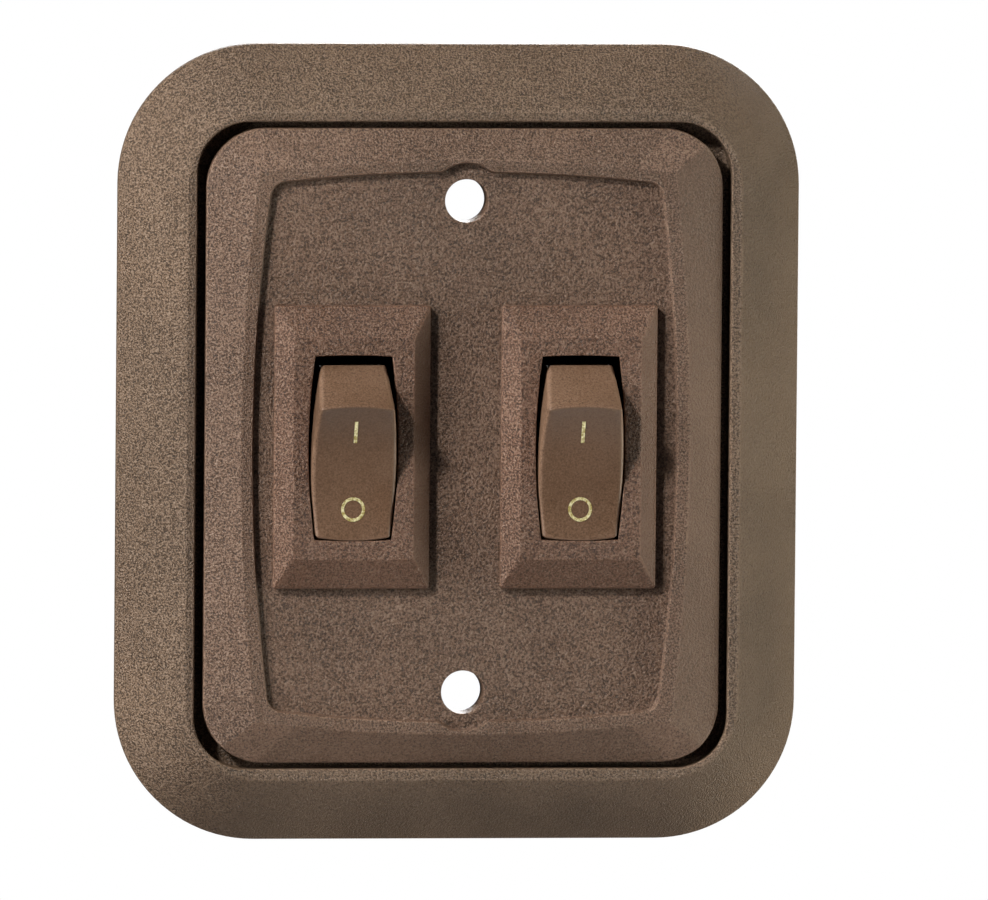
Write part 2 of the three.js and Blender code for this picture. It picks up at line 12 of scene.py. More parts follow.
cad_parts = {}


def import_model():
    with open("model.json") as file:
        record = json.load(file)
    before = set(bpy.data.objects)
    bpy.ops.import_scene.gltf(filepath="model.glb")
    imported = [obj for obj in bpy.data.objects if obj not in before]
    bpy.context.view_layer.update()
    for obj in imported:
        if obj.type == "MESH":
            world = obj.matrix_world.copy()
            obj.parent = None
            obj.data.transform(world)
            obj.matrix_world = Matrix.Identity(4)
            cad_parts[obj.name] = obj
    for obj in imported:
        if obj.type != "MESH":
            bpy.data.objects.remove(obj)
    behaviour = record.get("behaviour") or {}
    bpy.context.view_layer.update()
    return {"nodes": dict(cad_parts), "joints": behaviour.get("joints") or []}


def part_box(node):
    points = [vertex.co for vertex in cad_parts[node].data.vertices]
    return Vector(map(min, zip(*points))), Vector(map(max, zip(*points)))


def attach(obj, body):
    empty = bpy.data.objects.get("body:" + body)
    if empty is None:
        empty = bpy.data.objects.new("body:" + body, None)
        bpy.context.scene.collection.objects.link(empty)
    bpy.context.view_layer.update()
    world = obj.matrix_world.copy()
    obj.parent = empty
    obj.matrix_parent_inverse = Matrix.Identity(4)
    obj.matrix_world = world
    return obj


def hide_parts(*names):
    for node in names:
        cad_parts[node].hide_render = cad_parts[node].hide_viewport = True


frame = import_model()

MM = 0.001
SIDES = ("left", "right")

# Plate coordinates are millimetres: x right, y up, z out of the wall. The wall is z = 0.
PLATE_TO_WORLD = Matrix(((MM, 0, 0, 0), (0, 0, -MM, 0), (0, MM, 0, 0), (0, 0, 0, 1)))


def plate_box(node):
    """The lowest and highest corners of a CAD node in plate coordinates."""
    low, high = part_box(node)
    low_mm = np.array((low.x, low.z, -high.y)) / MM
    high_mm = np.array((high.x, high.z, -low.y)) / MM
    return low_mm, high_mm


def joint(name):
    return next(j for j in frame["joints"] if j["name"] == name)


_, ring_high = plate_box("trim_ring")
plate_low, plate_high = plate_box("face_plate")

# Trim ring
RING_HALF = ring_high[:2]
RING_CORNER = 17.2
RING_EDGE = 1.6
RING_SLOPE = 7.9
RING_RIDGE = ring_high[2]
RING_CROWN = 0.25
RING_WALL = 1.8
POCKET_HALF = np.array((65.9, 79.5)) / 2
POCKET_CORNER = 6.4
LEDGE = 5.0
LEDGE_UNDER = 3.2
BOX_HALF = np.array((59.0, 73.0)) / 2
BOX_CORNER = 4.0
RIB_THICKNESS = 1.4

# Face plate
PLATE_HALF = plate_high[:2]
PLATE_CORNER = 7.3
PLATE_BASE = plate_low[2]
PLATE_EDGE = 8.0
PLATE_WALL = 1.8
RIM_HEIGHT = plate_high[2]
RIM_CORNER = np.array((25.7, 33.75))
RIM_MIDDLE = np.array((27.7, 35.3))
PANEL_FRONT = 9.5
PANEL_BACK = 7.5
PANEL_CORNER = np.array((24.05, 32.4))
PANEL_MIDDLE = np.array((26.2, 33.8))
PANEL_RADIUS = 2.0
SCREW_Y = 30.2
SCREW_HOLE = 2.65
SCREW_RELIEF = 4.7
SCREW_BOSS = 4.6
CUTOUT_HALF = np.array((7.0, 15.0))

# Switch housing
BEZEL_SEAT = 9.52
BEZEL_EDGE = 10.4
BEZEL_FACE = 12.1
BEZEL_HALF = np.array((19.2, 34.8)) / 2
FACE_HALF = np.array((14.9, 27.3)) / 2
SKIN_UNDER = 11.3
OPENING_CORNER = np.array((4.75, 11.25))
OPENING_MIDDLE = np.array((5.5, 11.4))
BODY_HALF = np.array((13.6, 29.4)) / 2
BODY_BACK = -7.0
CAVITY_HALF = np.array((11.2, 26.6)) / 2

# The back of the cavity closes on the rear plug, so that no light passes between them
PLUG_GRIP = 0.14
PLUG_GRIP_START = 1.2
PLUG_GRIP_FULL = 1.0
WING_HALF_WIDTH = 3.4
WING_REACH = 1.2
WING_TOP = 7.4
WING_BOTTOM = 2.5
WING_SLOT = 0.5

# Rocker, in its own frame: y along its length, z out, origin on the pivot
ROCKER_TILT = math.radians(15)
RIDGE = np.array((8.3, 11.3))
DISH_DEPTH = 1.5
DISH_POWER = 2.5
CREST_BOW = 0.4
CREST_RADIUS = 0.55
ROCKER_EDGE_RADIUS = 0.5
ROCKER_END = np.array((11.75, 4.7))
ROCKER_FOOT = np.array((11.3, 3.2))
HALF_MIDDLE = 5.2
HALF_END = 4.0
HUB_HALF = 2.6
HUB_BOTTOM = -1.9
TRUNNION_RADIUS = 1.0
TRUNNION_REACH = 6.6
BORE_RADIUS = 1.0
BORE_TOP = 2.4

# Faces narrower than this belong to rounded edges, which are painted lighter, partly as rubbing of the
# plastic and partly as painted highlight lines
FILLET_WIDTH = 0.25

# The bar and circle foil marks on the rocker
MARK_HEIGHT = 2.95
MARK_STROKE = 0.37
MARK_PROUD = 0.02
MARK_DEPTH = 0.12
MARK_FROM_MIDDLE = 5.0
BAR_WIDTH = 0.42

# ------------------------------------------------------------------ outlines


def rounded_rect(half, radius, side_steps=60, corner_steps=24):
    """Points of a rounded rectangle, anticlockwise, matched one to one whatever its size."""
    radius = max(radius, 1e-3)
    x, y = half[0] - radius, half[1] - radius
    points = []
    for centre_x, centre_y, start in ((x, y, 0), (-x, y, 1), (-x, -y, 2), (x, -y, 3)):
        for step in range(corner_steps + 1):
            angle = 0.5 * math.pi * (start + step / corner_steps)
            points.append((centre_x + radius * math.cos(angle), centre_y + radius * math.sin(angle)))
        last = points[-1]
        ahead = {0: (-x, half[1]), 1: (-half[0], -y), 2: (x, -half[1]), 3: (half[0], y)}[start]
        for step in range(1, side_steps):
            share = step / side_steps
            points.append((last[0] + share * (ahead[0] - last[0]), last[1] + share * (ahead[1] - last[1])))
    return np.array(points)


def bowed_side(corner, middle, t):
    """Half an outline's side: distance out from the centre line at t from -1 to 1 along it."""
    return middle - (middle - corner) * t * t


def barrel(corner, middle, steps=80):
    """Four bowed sides that meet in sharp corners, anticlockwise from the lower right."""
    t = np.arange(steps) / steps * 2 - 1
    across, up = bowed_side(corner[0], middle[0], t), bowed_side(corner[1], middle[1], t)
    right = np.column_stack((across, corner[1] * t))
    top = np.column_stack((-corner[0] * t, up))
    return np.concatenate((right, top, -right, -top))


def circle(radius, centre=(0, 0), steps=64):
    angle = np.arange(steps) / steps * 2 * math.pi
    return np.column_stack((centre[0] + radius * np.cos(angle), centre[1] + radius * np.sin(angle)))


def polar_radius(outline, angles):
    """How far a star-shaped outline reaches from the origin at each angle."""
    own = np.arctan2(outline[:, 1], outline[:, 0])
    order = np.argsort(own)
    own, reach = own[order], np.hypot(outline[order, 0], outline[order, 1])
    own = np.concatenate((own[-1:] - 2 * math.pi, own, own[:1] + 2 * math.pi))
    reach = np.concatenate((reach[-1:], reach, reach[:1]))
    return np.interp(angles, own, reach)


def at(outline, height):
    """A flat loop at one height; the height may be one number or one for each point."""
    return np.column_stack((outline, np.broadcast_to(height, len(outline))))


# ------------------------------------------------------------------ mesh building


def filleted(loops, radii, steps=5):
    """Rounds each column's corners: loops[k] turns with radius radii[k] towards its neighbours."""
    rounded = []
    for k, (loop, radius) in enumerate(zip(loops, radii)):
        if not radius:
            rounded.append(loop)
            continue
        before = loops[k - 1] - loop
        after = loops[(k + 1) % len(loops)] - loop
        length_before = np.linalg.norm(before, axis=1, keepdims=True)
        length_after = np.linalg.norm(after, axis=1, keepdims=True)
        before, after = before / length_before, after / length_after
        cosine = np.clip(np.sum(before * after, axis=1, keepdims=True), -1, 1)
        trim = radius / np.maximum(np.tan(0.5 * np.arccos(cosine)), 1e-6)
        trim = np.minimum(trim, 0.45 * np.minimum(length_before, length_after))
        first, last = loop + before * trim, loop + after * trim
        for step in range(steps + 1):
            t = step / steps
            rounded.append((1 - t) ** 2 * first + 2 * t * (1 - t) * loop + t * t * last)
    return rounded


class Skin:
    """Collects the points and faces of one closed mesh."""

    def __init__(self):
        self.points = []
        self.faces = []

    def loop(self, points):
        start = len(self.points)
        self.points.extend(map(tuple, points))
        return list(range(start, len(self.points)))

    def bridge(self, a, b):
        for i in range(len(a)):
            j = (i + 1) % len(a)
            self.faces.append((a[i], a[j], b[j], b[i]))

    def sweep(self, loops, closed=False):
        rings = [self.loop(points) for points in loops]
        for a, b in zip(rings, rings[1:]):
            self.bridge(a, b)
        if closed:
            self.bridge(rings[-1], rings[0])
        return rings[0], rings[-1]

    def fill(self, *rings):
        """A flat face between an outer ring and any holes in it."""
        index = [i for ring in rings for i in ring]
        flat = [[Vector((self.points[i][0], self.points[i][1], 0)) for i in ring] for ring in rings]
        for triangle in tessellate_polygon(flat):
            self.faces.append(tuple(index[i] for i in triangle))

    def piece(self, name, place=Matrix.Identity(4)):
        return mesh_object(name, self.points, self.faces, place)


def mesh_object(name, points, faces, place=Matrix.Identity(4)):
    """A mesh object in world metres from plate millimetres, with its faces turned outwards."""
    mesh = bpy.data.meshes.new(name)
    mesh.from_pydata([Vector(p) for p in points], [], faces)
    mesh.transform(PLATE_TO_WORLD @ place)
    work = bmesh.new()
    work.from_mesh(mesh)
    bmesh.ops.remove_doubles(work, verts=work.verts, dist=1e-7)
    bmesh.ops.recalc_face_normals(work, faces=work.faces)
    work.to_mesh(mesh)
    work.free()
    piece = bpy.data.objects.new(name, mesh)
    bpy.context.scene.collection.objects.link(piece)
    return piece


def baked(piece):
    """Applies the piece's modifiers to its mesh."""
    bpy.context.view_layer.update()
    evaluated = piece.evaluated_get(bpy.context.evaluated_depsgraph_get())
    mesh = bpy.data.meshes.new_from_object(evaluated)
    piece.modifiers.clear()
    piece.data = mesh
    return piece


def combined(piece, operation, *tools):
    """Joins or cuts the piece with other closed meshes, which are then deleted."""
    for tool in tools:
        step = piece.modifiers.new(operation, "BOOLEAN")
        step.operation = operation
        step.solver = "MANIFOLD"
        step.object = tool
        baked(piece)
        bpy.data.objects.remove(tool)
    return piece


def smoothed(piece, sharp_degrees=38):
    """Smooth shading with flat faces kept flat, and true edges kept sharp."""
    work = bmesh.new()
    work.from_mesh(piece.data)
    for face in work.faces:
        face.smooth = True
    for edge in work.edges:
        edge.smooth = not (edge.is_manifold and edge.calc_face_angle(0) > math.radians(sharp_degrees))
    # Mask of narrow convex edge faces; the material paints them lighter, partly as rubbing and partly as
    # painted highlight lines
    edge_wear_and_highlight = work.faces.layers.float.new("edge_wear_and_highlight")
    for face in work.faces:
        narrow = face.calc_area() < FILLET_WIDTH * MM * max(edge.calc_length() for edge in face.edges)
        turned = [edge for edge in face.edges if edge.is_manifold and edge.calc_face_angle_signed(0) > 0.04]
        face[edge_wear_and_highlight] = 1.0 if narrow and len(turned) > 1 else 0.0
    work.to_mesh(piece.data)
    work.free()
    weigh = piece.modifiers.new("flat_normals", "WEIGHTED_NORMAL")
    weigh.keep_sharp = True
    return baked(piece)


def box_tool(low, high, place=Matrix.Identity(4)):
    """A plain block for cutting or joining."""
    skin = Skin()
    outline = np.array(((low[0], low[1]), (high[0], low[1]), (high[0], high[1]), (low[0], high[1])))
    bottom, top = skin.sweep([at(outline, low[2]), at(outline, high[2])])
    skin.fill(bottom)
    skin.fill(top)
    return skin.piece("tool", place)


def rod_tool(radius, start, end, place=Matrix.Identity(4), steps=64):
    """A round rod between two points, for cutting or joining."""
    start, end = Vector(start), Vector(end)
    turn = (end - start).to_track_quat("Z", "Y").to_matrix().to_4x4()
    skin = Skin()
    outline = circle(radius, steps=steps)
    bottom, top = skin.sweep([at(outline, 0), at(outline, (end - start).length)])
    skin.fill(bottom)
    skin.fill(top)
    return skin.piece("tool", place @ Matrix.Translation(start) @ turn)


# ------------------------------------------------------------------ trim ring


def ring_outline(inset):
    return rounded_rect(RING_HALF - inset, RING_CORNER - inset)


def trim_ring():
    pocket = rounded_rect(POCKET_HALF, POCKET_CORNER)
    opening = rounded_rect(BOX_HALF, BOX_CORNER)
    skirt = rounded_rect(BOX_HALF + RING_WALL, BOX_CORNER + RING_WALL)
    pocket_back = rounded_rect(POCKET_HALF + RING_WALL, POCKET_CORNER + RING_WALL)
    loops = [at(ring_outline(0), 0), at(ring_outline(0), RING_EDGE)]
    radii = [0.25, 0.35]
    slope_steps = 12
    for step in range(1, slope_steps + 1):
        across = step / slope_steps
        rise = across * (1 + RING_CROWN * (1 - across))
        loops.append(at(ring_outline(across * RING_SLOPE), RING_EDGE + rise * (RING_RIDGE - RING_EDGE)))
        radii.append(0)
    radii[-1] = 0.55
    rest = [
        (pocket, RING_RIDGE, 0.4),
        (pocket, LEDGE, 0.3),
        (opening, LEDGE, 0.25),
        (opening, 0, 0.2),
        (skirt, 0, 0.2),
        (skirt, LEDGE_UNDER, 0.3),
        (pocket_back, LEDGE_UNDER, 0.3),
        (pocket_back, LEDGE + 0.6, 0.3),
        (ring_outline(RING_SLOPE - 0.6), RING_RIDGE - 2.1, 0.3),
        (ring_outline(RING_WALL), 0.5 * RING_EDGE, 0.4),
        (ring_outline(RING_WALL), 0, 0.2),
    ]
    for outline, height, radius in rest:
        loops.append(at(outline, height))
        radii.append(radius)
    skin = Skin()
    skin.sweep(filleted(loops, radii), closed=True)
    ring = skin.piece("trim_ring_moulding")
    ribs = []
    half = 0.5 * RIB_THICKNESS
    inner, outer = BOX_HALF + 0.9 * RING_WALL, RING_HALF - 0.9 * RING_WALL
    for side in (-1, 1):
        for step in (-1, 1):
            x = 0.48 * step * RING_HALF[0]
            y = 0.44 * step * RING_HALF[1]
            across = sorted((side * inner[1], side * outer[1]))
            ribs.append(box_tool((x - half, across[0], 0.15), (x + half, across[1], 2.0)))
            across = sorted((side * inner[0], side * outer[0]))
            ribs.append(box_tool((across[0], y - half, 0.15), (across[1], y + half, 2.0)))
    return smoothed(combined(ring, "UNION", *ribs))


# ------------------------------------------------------------------ face plate


def bevel_lines(steps=150):
    """Matched points on the plate's square corner outline, and on the rim that the bevel climbs to."""
    t = np.arange(steps) / steps * 2 - 1
    t = t + 0.06 * np.sin(math.pi * t)
    right_foot = np.column_stack((np.full(steps, PLATE_HALF[0]), PLATE_HALF[1] * t))
    top_foot = np.column_stack((-PLATE_HALF[0] * t, np.full(steps, PLATE_HALF[1])))
    across = bowed_side(RIM_CORNER[0], RIM_MIDDLE[0], t)
    up = bowed_side(RIM_CORNER[1], RIM_MIDDLE[1], t)
    right_rim = np.column_stack((across, RIM_CORNER[1] * t))
    top_rim = np.column_stack((-RIM_CORNER[0] * t, up))
    foot = np.concatenate((right_foot, top_foot, -right_foot, -top_foot))
    rim = np.concatenate((right_rim, top_rim, -right_rim, -top_rim))
    return foot, rim


def cut_by_corners(foot, rim):
    """How far up each bevel line the plate's rounded corners cut it off, from 0 to 1."""
    centre = np.sign(foot) * (PLATE_HALF - PLATE_CORNER)
    beyond = np.all(np.abs(foot) > np.abs(centre) + 1e-9, axis=1)
    start, run = foot - centre, rim - foot
    a = np.sum(run * run, axis=1)
    b = np.sum(start * run, axis=1)
    c = np.sum(start * start, axis=1) - PLATE_CORNER**2
    share = (-b - np.sqrt(np.maximum(b * b - a * c, 0))) / a
    return np.where(beyond, share, 0)


def round_corner(corner, middle):
    """Centre of the arc that rounds a bowed outline's corner, and the angles where it meets the sides."""
    into = np.array([
        (-1.0, -2 * (middle[0] - corner[0]) / corner[1]),
        (-2 * (middle[1] - corner[1]) / corner[0], -1.0),
    ])
    into /= np.linalg.norm(into, axis=1, keepdims=True)
    centre = corner + np.linalg.solve(into, np.full(2, PANEL_RADIUS))
    ends = centre - into * PANEL_RADIUS
    return centre, np.arctan2(ends[:, 1], ends[:, 0])


def recess_outline(angles, inset=0.0):
    """The sunk panel's edge: a bowed outline with rounded corners and a round relief at each screw."""
    corner, middle = PANEL_CORNER - inset, PANEL_MIDDLE - inset
    reach = polar_radius(barrel(corner, middle, steps=400), angles)
    centre, ends = round_corner(corner, middle)
    across, up = np.abs(np.cos(angles)), np.abs(np.sin(angles))
    turn = np.arctan2(up, across)
    along = across * centre[0] + up * centre[1]
    arc = along + np.sqrt(np.maximum(PANEL_RADIUS**2 - centre @ centre + along**2, 0))
    reach = np.where((turn > ends[0]) & (turn < ends[1]), arc, reach)
    relief = SCREW_RELIEF - inset
    tilt = across * SCREW_Y
    far = up * SCREW_Y + np.sqrt(np.maximum(relief**2 - tilt**2, 0))
    reach = np.where(tilt < relief, np.maximum(reach, far), reach)
    return np.column_stack((reach * np.cos(angles), reach * np.sin(angles)))


def face_plate():
    foot, rim = bevel_lines()
    share = cut_by_corners(foot, rim)[:, None]
    edge = foot + share * (rim - foot)
    edge_height = PLATE_EDGE + share[:, 0] * (RIM_HEIGHT - PLATE_EDGE)
    outer_angles = np.arctan2(edge[:, 1], edge[:, 0])
    rim_angles = np.arctan2(rim[:, 1], rim[:, 0])

    def back_outline(inset):
        outline = rounded_rect(PLATE_HALF - inset, PLATE_CORNER - inset)
        reach = polar_radius(outline, outer_angles)
        return np.column_stack((reach * np.cos(outer_angles), reach * np.sin(outer_angles)))

    profile = [
        (at(back_outline(PLATE_WALL + 0.7), PANEL_BACK), 0),
        (at(back_outline(PLATE_WALL), PANEL_BACK), 0.25),
        (at(back_outline(PLATE_WALL), PLATE_BASE), 0.15),
        (at(edge, PLATE_BASE), 0.2),
        (at(edge, edge_height), 0.3),
        (at(rim, RIM_HEIGHT), 0.55),
        (at(recess_outline(rim_angles), RIM_HEIGHT), 0.22),
        (at(recess_outline(rim_angles, 0.1), PANEL_FRONT), 0.16),
        (at(recess_outline(rim_angles, 0.8), PANEL_FRONT), 0),
    ]
    skin = Skin()
    back, front = skin.sweep(filleted([p[0] for p in profile], [p[1] for p in profile]))
    front_holes, back_holes = [], []
    for side in (-1, 1):
        centre = (0, side * SCREW_Y)
        hole = [
            (SCREW_HOLE + 0.35, PANEL_FRONT, 0),
            (SCREW_HOLE, PANEL_FRONT, 0.2),
            (SCREW_HOLE, PLATE_BASE, 0.12),
            (SCREW_BOSS, PLATE_BASE, 0.15),
            (SCREW_BOSS, PANEL_BACK, 0.15),
            (SCREW_BOSS + 0.35, PANEL_BACK, 0),
        ]
        loops = [at(circle(radius, centre), height) for radius, height, _ in hole]
        top, bottom = skin.sweep(filleted(loops, [h[2] for h in hole]))
        front_holes.append(top)
        back_holes.append(bottom)
        shift = np.array((side * switch_x("right"), 0))
        cutout = rounded_rect(CUTOUT_HALF, 0.3, 4, 4) + shift
        top, bottom = skin.sweep([at(cutout, PANEL_FRONT), at(cutout, PANEL_BACK)])
        front_holes.append(top)
        back_holes.append(bottom)
    skin.fill(front, *front_holes)
    skin.fill(back, *back_holes)
    return smoothed(skin.piece("face_plate_moulding"))


# ------------------------------------------------------------------ switch housing


def switch_x(side):
    low, high = plate_box(side + "_switch_housing")
    return 0.5 * (low[0] + high[0])


def barrel_grown(grow):
    return barrel(OPENING_CORNER + grow, OPENING_MIDDLE + grow)


def housing(side):
    flange = [
        (rounded_rect(BODY_HALF, 0.4), BEZEL_SEAT, 0),
        (rounded_rect(BEZEL_HALF, 0.4), BEZEL_SEAT, 0.12),
        (rounded_rect(BEZEL_HALF, 0.4), BEZEL_EDGE, 0.4),
        (rounded_rect(FACE_HALF, 0.55), BEZEL_FACE, 0.6),
        (rounded_rect(FACE_HALF - 1.1, 0.4), BEZEL_FACE, 0),
    ]
    skin = Skin()
    loops = [at(outline, height) for outline, height, _ in flange]
    under, face = skin.sweep(filleted(loops, [f[2] for f in flange]))
    mouth = [
        (barrel_grown(0.5), BEZEL_FACE, 0),
        (barrel_grown(0), BEZEL_FACE, 0.16),
        (barrel_grown(0), SKIN_UNDER, 0.06),
        (barrel_grown(0.04), SKIN_UNDER, 0),
    ]
    loops = [at(outline, height) for outline, height, _ in mouth]
    mouth_top, mouth_under = skin.sweep(filleted(loops, [m[2] for m in mouth]))
    skin.fill(face, mouth_top)
    cavity, grip = rounded_rect(CAVITY_HALF, 0.3), rounded_rect(CAVITY_HALF - PLUG_GRIP, 0.3)
    cavity_top, _ = skin.sweep([
        at(cavity, SKIN_UNDER),
        at(cavity, BODY_BACK + PLUG_GRIP_START),
        at(grip, BODY_BACK + PLUG_GRIP_FULL),
        at(grip, BODY_BACK),
    ])
    skin.fill(cavity_top, mouth_under)
    body = rounded_rect(BODY_HALF, 0.4)
    loops = filleted([at(grip, BODY_BACK), at(body, BODY_BACK), at(body, BEZEL_SEAT)], [0, 0.2, 0])
    rim_low, rim_high = skin.sweep(loops)
    place = Matrix.Translation((switch_x(side), 0, 0))
    piece = skin.piece(side + "_switch_bezel", place)
    tools = []
    pivot = pivot_height(side)
    cuts = [rod_tool(TRUNNION_RADIUS + 0.06, (-9, 0, pivot), (9, 0, pivot), place)]
    for end in (-1, 1):
        wall = (CAVITY_HALF[1], BODY_HALF[1])
        y = sorted((end * (wall[0] - 0.3), end * (wall[1] + 0.3)))
        for x in (-WING_HALF_WIDTH - WING_SLOT, WING_HALF_WIDTH):
            cuts.append(box_tool((x, y[0], WING_BOTTOM), (x + WING_SLOT, y[1], WING_TOP + 0.05), place))
        skin = Skin()
        profile = [
            (wall[1] - 0.6, WING_BOTTOM),
            (wall[1], WING_BOTTOM),
            (wall[1] + WING_REACH, WING_TOP - 0.6),
            (wall[1] + WING_REACH, WING_TOP),
            (wall[1] - 0.6, WING_TOP),
        ]
        left = skin.loop([(-WING_HALF_WIDTH, end * y_, z_) for y_, z_ in profile])
        right = skin.loop([(WING_HALF_WIDTH, end * y_, z_) for y_, z_ in profile])
        skin.bridge(left, right)
        skin.faces += [tuple(left), tuple(right)]
        tools.append(skin.piece("tool", place))
    combined(piece, "UNION", *tools)
    combined(piece, "DIFFERENCE", *cuts)
    return smoothed(piece)


# ------------------------------------------------------------------ rocker


def pivot_height(side):
    return -joint(side + "_rocker_tilt")["pos_m"][1] / MM


def dish(y):
    return RIDGE[1] - DISH_DEPTH * (1 - np.abs(y / RIDGE[0]) ** DISH_POWER)


def rocker_half(y):
    return HALF_MIDDLE - (HALF_MIDDLE - HALF_END) * (y / (ROCKER_END[0] + 0.1)) ** 2


def rocker_path():
    """The rocker's outer profile from end to end, with rounded crests, as (y, z) points."""
    y = np.linspace(-RIDGE[0], RIDGE[0], 41)
    path = [(-ROCKER_END[0], ROCKER_END[1])]
    path += [(a, dish(a)) for a in y]
    path += [(ROCKER_END[0], ROCKER_END[1])]
    corners = np.array(path)[:, None, :]
    loops = [c for c in corners]
    radii = [0] * len(loops)
    radii[1] = radii[-2] = CREST_RADIUS
    rounded = filleted([np.column_stack((c, np.zeros(1))) for c in loops], radii, steps=8)
    points = np.array([p[0][:2] for p in rounded])
    fine = [points[0]]
    for a, b in zip(points, points[1:]):
        pieces = max(1, int(math.ceil(np.linalg.norm(b - a) / 0.45)))
        fine += [a + (b - a) * k / pieces for k in range(1, pieces + 1)]
    return np.array(fine)


def arched(column):
    """Bows each crest line outwards at its middle."""
    x, y, z = column.T
    near = np.exp(-(((np.abs(y) - RIDGE[0]) / 2.2) ** 2)) * np.clip((z - ROCKER_END[1]) / 4, 0, 1)
    return np.column_stack((x, y + np.sign(y) * CREST_BOW * near * (1 - 1.5 * (x / HALF_MIDDLE) ** 2), z))


def rocker(side, place):
    path = rocker_path()
    tangent = np.gradient(path, axis=0)
    tangent /= np.linalg.norm(tangent, axis=1, keepdims=True)
    normal = np.column_stack((-tangent[:, 1], tangent[:, 0]))
    edge_steps, side_rows, top_steps = 7, 8, 10
    foot_y = np.linspace(-ROCKER_FOOT[0], ROCKER_FOOT[0], len(path))
    half_columns = []
    for row in range(side_rows):
        share = row / side_rows
        deep = path - normal * ROCKER_EDGE_RADIUS
        y = foot_y + share * (deep[:, 0] - foot_y)
        z = ROCKER_FOOT[1] + share * (deep[:, 1] - ROCKER_FOOT[1])
        half_columns.append((rocker_half(y), y, z))
    for step in range(edge_steps + 1):
        angle = 0.5 * math.pi * step / edge_steps
        spot = path - normal * ROCKER_EDGE_RADIUS * (1 - math.sin(angle))
        half = rocker_half(spot[:, 0]) - ROCKER_EDGE_RADIUS * (1 - math.cos(angle))
        half_columns.append((half, spot[:, 0], spot[:, 1]))
    inner = half_columns[-1][0]
    columns = [np.column_stack(c) for c in half_columns]
    for step in range(1, top_steps):
        columns.append(np.column_stack((inner * (1 - 2 * step / top_steps), path[:, 0], path[:, 1])))
    columns += [c * np.array((-1, 1, 1)) for c in reversed(columns[: len(half_columns)])]
    skin = Skin()
    grid = [skin.loop(arched(c)) for c in columns]
    for a, b in zip(grid, grid[1:]):
        for i in range(len(path) - 1):
            skin.faces.append((a[i], a[i + 1], b[i + 1], b[i]))
    for i in range(len(path) - 1):
        skin.faces.append((grid[0][i], grid[0][i + 1], grid[-1][i + 1], grid[-1][i]))
    for end in (0, -1):
        skin.faces.append(tuple(column[end] for column in grid))
    piece = skin.piece(side + "_rocker_moulding", place)
    hub_x = HALF_MIDDLE - 0.3
    hub = box_tool((-hub_x, -HUB_HALF, HUB_BOTTOM), (hub_x, HUB_HALF, ROCKER_FOOT[1] + 1), place)
    axle = rod_tool(TRUNNION_RADIUS, (-TRUNNION_REACH, 0, 0), (TRUNNION_REACH, 0, 0), place)
    bore = rod_tool(BORE_RADIUS, (0, 0, HUB_BOTTOM - 1), (0, 0, BORE_TOP), place)
    combined(piece, "UNION", hub, axle)
    combined(piece, "DIFFERENCE", bore)
    return smoothed(piece)


# ------------------------------------------------------------------ foil marks


def circle_mark():
    half = np.array((MARK_HEIGHT, MARK_HEIGHT)) / 2
    outer = rounded_rect(half, 0.5 * MARK_HEIGHT, 6, 12)
    inner = rounded_rect(half - MARK_STROKE, 0.5 * MARK_HEIGHT - MARK_STROKE, 6, 12)
    return [outer, inner]


def bar_mark():
    x, y = BAR_WIDTH / 2, MARK_HEIGHT / 2
    return [np.array(((-x, -y), (x, -y), (x, y), (-x, y)))]


def divided(outline, spacing=0.2):
    """The same closed outline with points added along its long edges."""
    points = []
    for a, b in zip(outline, np.roll(outline, -1, axis=0)):
        pieces = max(1, int(round(np.linalg.norm(b - a) / spacing)))
        points += [a + (b - a) * k / pieces for k in range(pieces)]
    return np.array(points)


def foil_mark(side, label, outlines, centre_y, place):
    """A thin foil mark laid on the dished face, as one closed mesh."""
    skin = Skin()
    rings = []
    for outline in outlines:
        outline = divided(outline) + (0.0, centre_y)
        height = dish(outline[:, 1])
        loops = [at(outline, height - MARK_DEPTH), at(outline, height + MARK_PROUD)]
        rings.append(skin.sweep(loops))
    skin.fill(*[r[0] for r in rings])
    skin.fill(*[r[1] for r in rings])
    return smoothed(skin.piece(side + "_letters_" + label, place))


# ------------------------------------------------------------------ small metal and moulded parts


def refined(node, name, width):
    """A copy of a plain CAD solid with its edges rounded."""
    mesh = frame["nodes"][node].data.copy()
    mesh.name = name
    work = bmesh.new()
    work.from_mesh(mesh)
    bmesh.ops.remove_doubles(work, verts=work.verts, dist=1e-6)
    bmesh.ops.dissolve_limit(work, angle_limit=math.radians(1), verts=work.verts, edges=work.edges)
    work.to_mesh(mesh)
    work.free()
    piece = bpy.data.objects.new(name, mesh)
    bpy.context.scene.collection.objects.link(piece)
    edges = piece.modifiers.new("edges", "BEVEL")
    edges.width = width * MM
    edges.segments = 3
    edges.limit_method = "ANGLE"
    edges.angle_limit = math.radians(38)
    edges.use_clamp_overlap = True
    return smoothed(baked(piece))


def coil_spring(side, place):
    """A compression spring of round wire with closed ends."""
    low, high, coil, wire, turns = -0.1, 2.2, 0.7, 0.14, 5.5
    steps, around = 260, 12
    skin = Skin()
    rings = []
    for step in range(steps + 1):
        t = step / steps
        angle = 2 * math.pi * turns * t
        rise = low + (high - low) * (0.5 - 0.5 * math.cos(math.pi * t)) * 0.5 + (high - low) * 0.5 * t
        centre = Vector((coil * math.cos(angle), coil * math.sin(angle), rise))
        out = Vector((math.cos(angle), math.sin(angle), 0))
        up = Vector((0, 0, 1))
        spin = [2 * math.pi * k / around for k in range(around)]
        rings.append([centre + out * wire * math.cos(a) + up * wire * math.sin(a) for a in spin])
    first, last = skin.sweep(rings)
    skin.faces += [tuple(first), tuple(last)]
    return smoothed(skin.piece(side + "_coil_spring", place))


# ------------------------------------------------------------------ materials

KEY_LIGHT = (-0.613, 0.524, 0.592)
# Direction of the light that the grain's painted shade and glints stand for
GRAIN_LIT_SIDE = Vector((-0.75, -0.5, 0.3))


